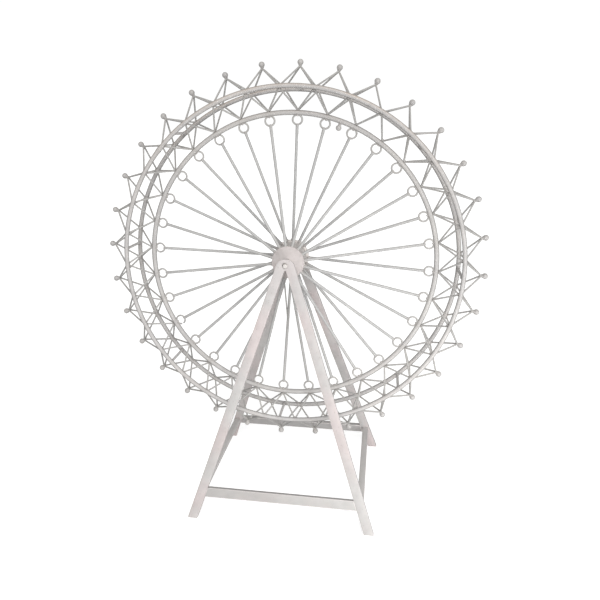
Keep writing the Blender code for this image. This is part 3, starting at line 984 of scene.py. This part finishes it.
# %% [markdown]
# A spoke is a straight rod from the rim of a disc to the ring in its bay. Every second one
# starts at the front disc and the rest at the back disc, so that the rim is held from both
# sides, as a bicycle wheel's is. At the disc each sits in a generous lump of weld. One
# thin stray wire runs from the front disc to a back spoke, a brace left from the making.

# %% Draw the spokes
SPOKE_ROD = 2.5 * MM
SPOKE_SIDES = 12
SPOKE_ROOT = 24 * MM
ROOT_WELD = 3.3 * MM
TIP_WELD = 2.2 * MM
BRACE_WIRE = 1.3 * MM
BRACE_BAY = 16.98
BRACED_SPOKE = 16
BRACE_MEETS = 0.456


def spoke_set(name, disc, disc_radius, side, first_bay):
    """A disc with a spoke in every second bay, welded at both ends."""
    y = side * (DISC_OUTER_FACE - DISC_THICKNESS / 2)
    root = on_wheel(SPOKE_ROOT, y, 0)
    tip = on_wheel(RING_CENTRE - RING_RADIUS, 0, 0)
    spoke = start_wire("spoke", root, (tip - root).normalized(), SPOKE_ROD, SPOKE_SIDES)
    draw_out(tip - root)
    close_ends()
    painted(spoke, SPOKE_PAINT)
    parts = [disc]
    for bay in range(first_bay, BAYS, 2):
        parts.append(copied(spoke, to_bay(bay)))
        parts.append(weld(to_bay(bay) @ on_wheel(disc_radius, y - side * MM, 0), ROOT_WELD))
        parts.append(weld(to_bay(bay) @ tip, TIP_WELD))
    thrown_away(spoke)
    return joined(name, parts)


def stray_brace():
    """A thin wire from the front disc to a place along one of the back spokes."""
    y = DISC_OUTER_FACE - DISC_THICKNESS / 2
    start = on_wheel(FRONT_DISC_RADIUS, -y, BRACE_BAY)
    root = on_wheel(SPOKE_ROOT, y, BRACED_SPOKE)
    tip = on_wheel(RING_CENTRE - RING_RADIUS, 0, BRACED_SPOKE)
    run = root.lerp(tip, BRACE_MEETS) - start
    brace = start_wire("stray_brace", start, run.normalized(), BRACE_WIRE)
    draw_out(run)
    close_ends()
    return painted(brace, WIRE_PAINT)


front_spokes = spoke_set("front_spokes", front_disc, FRONT_DISC_RADIUS, -1, 1)
front_spokes = joined("front_spokes", [front_spokes, stray_brace()])
back_spokes = spoke_set("back_spokes", back_disc, BACK_DISC_RADIUS, 1, 0)
print("a spoke is", round((RING_CENTRE - RING_RADIUS - SPOKE_ROOT) * 1000), "mm long")

# %% [markdown]
# Between the discs the drum is plain, with soft ends. The tube passes through it and stops
# short of the heads of the stand. It runs on the axle, a rod whose ends are rounded over
# where they show in the heads.

# %% Fit the drum, the tube and the axle
DRUM_RADIUS = 26.5 * MM
DRUM_GAP = 0.3 * MM
DRUM_END = DISC_OUTER_FACE - DISC_THICKNESS - DRUM_GAP
DRUM_ROUND = 0.5 * MM
TUBE_BORE = 4.5 * MM
TUBE_ROUND = 0.4 * MM
AXLE_ROUND = 1.2 * MM
AXLE_SIDES = 32
# The drum's paler paint is painted light against the shade between the discs.
drum = bored_disc("drum", DRUM_RADIUS, TUBE_RADIUS, -DRUM_END, DRUM_END, DRUM_ROUND, DRUM_PAINTED_LIGHT)
tube_reach = half_size("hub_tube").y
tube = bored_disc("tube", TUBE_RADIUS, TUBE_BORE, -tube_reach, tube_reach, TUBE_ROUND, HUB_PAINT)
axle_size = half_size("axle")


def axle_rod():
    end = HUB - Vector((0, axle_size.y, 0))
    rod = start_wire("axle_rod", end, Vector((0, 1, 0)), axle_size.z, AXLE_SIDES)
    draw_out(Vector((0, 2 * axle_size.y, 0)))
    bpy.ops.mesh.select_all(action="SELECT")
    bpy.ops.mesh.fill_holes(sides=0)
    pick_edges(rod, lambda a, b: min(abs(a.y), abs(b.y)) > axle_size.y - MM / 10)
    bpy.ops.mesh.bevel(offset=AXLE_ROUND, segments=RIM_STEPS, affect="EDGES")
    face_outwards()
    return rod


axle = painted(axle_rod(), AXLE_STEEL)
print("axle", round(2 * axle_size.y, 4), "long")

# %% [markdown]
# Each A-frame is flat bar: two legs whose tops are cut to meet, welded, and ground into one
# round head with a bore for the axle. It is modelled lying flat as one leg, cut along the
# middle line, across the top and along the floor, and mirrored. Rounding the upright edges
# then gives the shoulders of the head and the crotch. A small bevel runs along every edge,
# with a material of its own, because paint is thinnest there.

# %% Shape an A-frame
BAR_WIDTH = 16 * MM
BAR_THICKNESS = 8 * MM
HEAD_DISTANCE = 51 * MM
FOOT_DISTANCE = 142 * MM
FOOT_HALF_WIDTH = 150 * MM
LEG_TOP_OFFSET = 7 * MM
HEAD_RISE = 10 * MM
SHOULDER_ROUND = 10 * MM
SHOULDER_STEPS = 8
CROTCH_ROUND = 7.8 * MM
CROTCH_STEPS = 5
SPARE_LENGTH = 1.2
LEAN = math.atan2(FOOT_DISTANCE - HEAD_DISTANCE, HUB.z)
FRAME_LENGTH = math.hypot(FOOT_DISTANCE - HEAD_DISTANCE, HUB.z)
LEG_ANGLE = math.atan2(FOOT_HALF_WIDTH - LEG_TOP_OFFSET, FRAME_LENGTH)
stand_up = Matrix.Translation((0, -HEAD_DISTANCE, HUB.z)) @ Matrix.Rotation(math.radians(90) - LEAN, 4, "X")


def cut_away(plane_at, plane_normal, fill=True):
    bpy.ops.mesh.select_all(action="SELECT")
    bpy.ops.mesh.bisect(plane_co=plane_at, plane_no=plane_normal, use_fill=fill, clear_outer=True)


def upright_edge_near(piece, x, y):
    """Select the edges that stand across the flat bar at a place in its outline."""
    def near(a, b):
        across = abs(a.z - b.z) > BAR_THICKNESS / 2
        return across and all(abs(abs(p.x) - x) < MM / 2 and abs(p.y - y) < MM / 2 for p in (a, b))

    pick_edges(piece, near)


def flat_a_frame():
    """Two legs lying flat, cut square at the top and level with the floor at the feet."""
    length = FRAME_LENGTH / math.cos(LEG_ANGLE)
    along = Vector((math.sin(LEG_ANGLE), -math.cos(LEG_ANGLE), 0))
    half_way = Vector((LEG_TOP_OFFSET, 0, 0)) + along * length / 2
    clear_selection()
    bpy.ops.mesh.primitive_cube_add(size=1, location=half_way, rotation=(0, 0, LEG_ANGLE),
                                    scale=(BAR_WIDTH, length * SPARE_LENGTH, BAR_THICKNESS))
    frame_piece = bpy.context.object
    bpy.ops.object.transform_apply()
    bpy.ops.object.mode_set(mode="EDIT")
    lay_down = stand_up.inverted()
    cut_away(lay_down @ Vector((0, 0, 0)), lay_down.to_3x3() @ Vector((0, 0, -1)))
    cut_away((0, HEAD_RISE, 0), (0, 1, 0))
    cut_away((0, 0, 0), (-1, 0, 0), fill=False)
    bpy.ops.object.mode_set(mode="OBJECT")
    mirror = frame_piece.modifiers.new("other_leg", "MIRROR")
    mirror.merge_threshold = MM / 100
    bpy.ops.object.modifier_apply(modifier=mirror.name)
    return frame_piece


def outline_corner(edge, y):
    """Where a leg's outer (1), middle (0) or inner (-1) line is at a height y in its plane."""
    return LEG_TOP_OFFSET - y * math.tan(LEG_ANGLE) + edge * BAR_WIDTH / 2 / math.cos(LEG_ANGLE)


def a_frame(name):
    frame_piece = flat_a_frame()
    frame_piece.name = name
    bpy.ops.object.mode_set(mode="EDIT")
    upright_edge_near(frame_piece, outline_corner(1, HEAD_RISE), HEAD_RISE)
    bpy.ops.mesh.bevel(offset=SHOULDER_ROUND, segments=SHOULDER_STEPS, affect="EDGES")
    crotch_y = (LEG_TOP_OFFSET - BAR_WIDTH / 2 / math.cos(LEG_ANGLE)) / math.tan(LEG_ANGLE)
    upright_edge_near(frame_piece, 0, crotch_y)
    bpy.ops.mesh.bevel(offset=CROTCH_ROUND, segments=CROTCH_STEPS, affect="EDGES")
    face_outwards()
    return frame_piece


frame_pattern = a_frame("a_frame")
print("leg angle", round(math.degrees(LEG_ANGLE), 2), "degrees")

# %% [markdown]
# The bore is drilled with a Boolean, a little large and off centre, as by hand. Only then
# does the small bevel go round all sharp edges, the rim of the bore among them. Bevel gives
# the new faces the second material.

# %% Drill, soften and stand up the A-frames
HEAD_BORE = 4.6 * MM
BORE_SIDES = 48
BORE_WANDER = 0.5 * MM
EDGE_ROUND = 0.9 * MM
EDGE_STEPS = 3
SHARP = math.radians(30)


def drilled_and_softened(piece):
    clear_selection()
    bpy.ops.mesh.primitive_cylinder_add(vertices=BORE_SIDES, radius=HEAD_BORE, depth=4 * HEAD_DISTANCE,
                                        location=(-BORE_WANDER, 0, 0), rotation=(LEAN, 0, 0))
    drill = bpy.context.object
    bore = piece.modifiers.new("bore", "BOOLEAN")
    bore.operation = "DIFFERENCE"
    bore.solver = "EXACT"
    bore.object = drill
    soften(piece, "bore")
    thrown_away(drill)


def soften(piece, *first_modifiers):
    """A small bevel on all sharp edges, its faces in the piece's second material."""
    edges = piece.modifiers.new("edges", "BEVEL")
    edges.width = EDGE_ROUND
    edges.segments = EDGE_STEPS
    edges.limit_method = "ANGLE"
    edges.angle_limit = SHARP
    edges.material = 1
    select_only(piece)
    for name in (*first_modifiers, "edges"):
        bpy.ops.object.modifier_apply(modifier=name)


def stood_up(name, pattern):
    """The front and back copies of a piece that was modelled lying flat."""
    pair = []
    for side, turn in (("front", 0), ("back", math.pi)):
        copy = copied(pattern, Matrix.Rotation(turn, 4, "Z") @ stand_up)
        pair.append(joined(f"{side}_{name}", [copy]))
    thrown_away(pattern)
    return pair


painted(frame_pattern, STAND_PAINT, EDGE_PAINT)
drilled_and_softened(frame_pattern)
front_frame, back_frame = stood_up("a_frame", frame_pattern)
print("an A-frame has", len(front_frame.data.polygons), "faces")

# %% [markdown]
# The cross bars are the same flat bar, cut on a slant to fit between the legs, and two
# thinner side bars join the frames front to back. Each starts as a cube, which bisecting
# cuts to the slant of the legs that it meets.

# %% Cut the bars
SIDE_BAR_WIDTH = 11 * MM
SIDE_BAR_HEIGHT = 8 * MM
bar_height = middle("front_cross_bar").z
level = (bar_height - HUB.z) / math.cos(LEAN)


def cut_bar(name, size, at, cuts, paint):
    """A straight bar with its ends cut by planes and its edges softened."""
    clear_selection()
    bpy.ops.mesh.primitive_cube_add(size=1, location=at, scale=size)
    bar = bpy.context.object
    bar.name = name
    bpy.ops.object.transform_apply()
    bpy.ops.object.mode_set(mode="EDIT")
    for plane_at, plane_normal in cuts:
        cut_away(plane_at, plane_normal)
    face_outwards()
    soften(painted(bar, paint, EDGE_PAINT))
    return bar


def cross_bars():
    inner = Vector((outline_corner(-1, level), level, 0))
    slope = Vector((math.cos(LEG_ANGLE), math.sin(LEG_ANGLE), 0))
    cuts = [(Vector((side * inner.x, inner.y, 0)), Vector((side * slope.x, slope.y, 0)))
            for side in (-1, 1)]
    size = (2 * FOOT_HALF_WIDTH, BAR_WIDTH, BAR_THICKNESS)
    # The cross bar takes the darker paint, painted shade.
    bar = cut_bar("cross_bar", size, (0, level, 0), cuts, FRONT_BAR_PAINTED_SHADE)
    front, back = stood_up("cross_bar_piece", bar)
    # The back one takes darker paint still, painted shade.
    back.data.materials[0] = BACK_BAR_PAINTED_SHADE
    return front, back


def side_bars():
    out_to_legs = HEAD_DISTANCE + (HUB.z - bar_height) * math.tan(LEAN)
    reach = out_to_legs - BAR_THICKNESS / 2 / math.cos(LEAN)
    cuts = [(Vector((0, side * reach, bar_height)), Vector((0, side * math.cos(LEAN), math.sin(LEAN))))
            for side in (-1, 1)]
    bars = []
    for name, side in (("left", -1), ("right", 1)):
        at = (side * outline_corner(0, level), 0, bar_height)
        size = (SIDE_BAR_WIDTH, 2 * FOOT_DISTANCE, SIDE_BAR_HEIGHT)
        # The side bars take the paler paint, painted light against their shade.
        bars.append(cut_bar(f"{name}_side_bar_piece", size, at, cuts, PALE_PAINTED_LIGHT))
    return bars


front_bar, back_bar = cross_bars()
left_bar, right_bar = side_bars()
print("bars at", round(bar_height, 4))

# %% [markdown]
# Last, each piece is shaded smooth except at sharp edges, and every point of it keeps how
# near it is to a weld, which the stain reads.

# %% Finish the pieces and put them on their bodies
STAIN_REACH = 5 * MM
SMOOTH_BELOW = math.radians(40)
weld_tree = KDTree(len(weld_places))
for index, place in enumerate(weld_places):
    weld_tree.insert(place, index)
weld_tree.balance()


def keep_nearness(piece):
    """Keep in every point how near it is to a weld, from 1 at the weld down to 0."""
    nearness = piece.data.attributes.new("near_weld", "FLOAT", "POINT")
    for point, value in zip(piece.data.vertices, nearness.data):
        value.value = math.exp(-weld_tree.find(point.co)[2] / STAIN_REACH)


def finish(piece, body, slot, *nodes):
    keep_nearness(piece)
    select_only(piece)
    bpy.ops.object.shade_smooth_by_angle(angle=SMOOTH_BELOW)
    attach(piece, body)
    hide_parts(*nodes)


finish(front_hoop, "wheel", "hoop_paint", "front_hoop")
finish(back_hoop, "wheel", "hoop_paint", "back_hoop")
finish(inner_hoop, "wheel", "hoop_paint", "inner_hoop")
for number, (tie, crown, web) in enumerate(zip(ties, crowns, webs), 1):
    finish(tie, "wheel", "hoop_paint", f"hoop_tie_{number}")
    finish(crown, "wheel", "wire_paint", f"crown_{number}")
    finish(web, "wheel", "wire_paint", f"web_{number}")
finish(front_spokes, "wheel", "spoke_paint", "front_spoke_set")
finish(back_spokes, "wheel", "spoke_paint", "back_spoke_set")
finish(drum, "wheel", "hub_paint", "hub_drum")
finish(tube, "wheel", "hub_paint", "hub_tube")
finish(axle, "stand", "axle_steel", "axle")
finish(front_frame, "stand", "stand_paint", "front_head", "front_left_leg", "front_right_leg")
finish(back_frame, "stand", "stand_paint", "back_head", "back_left_leg", "back_right_leg")
finish(front_bar, "stand", "stand_paint", "front_cross_bar")
finish(back_bar, "stand", "stand_paint", "back_cross_bar")
finish(left_bar, "stand", "stand_paint", "left_side_bar")
finish(right_bar, "stand", "stand_paint", "right_side_bar")
thrown_away(lump_pattern)
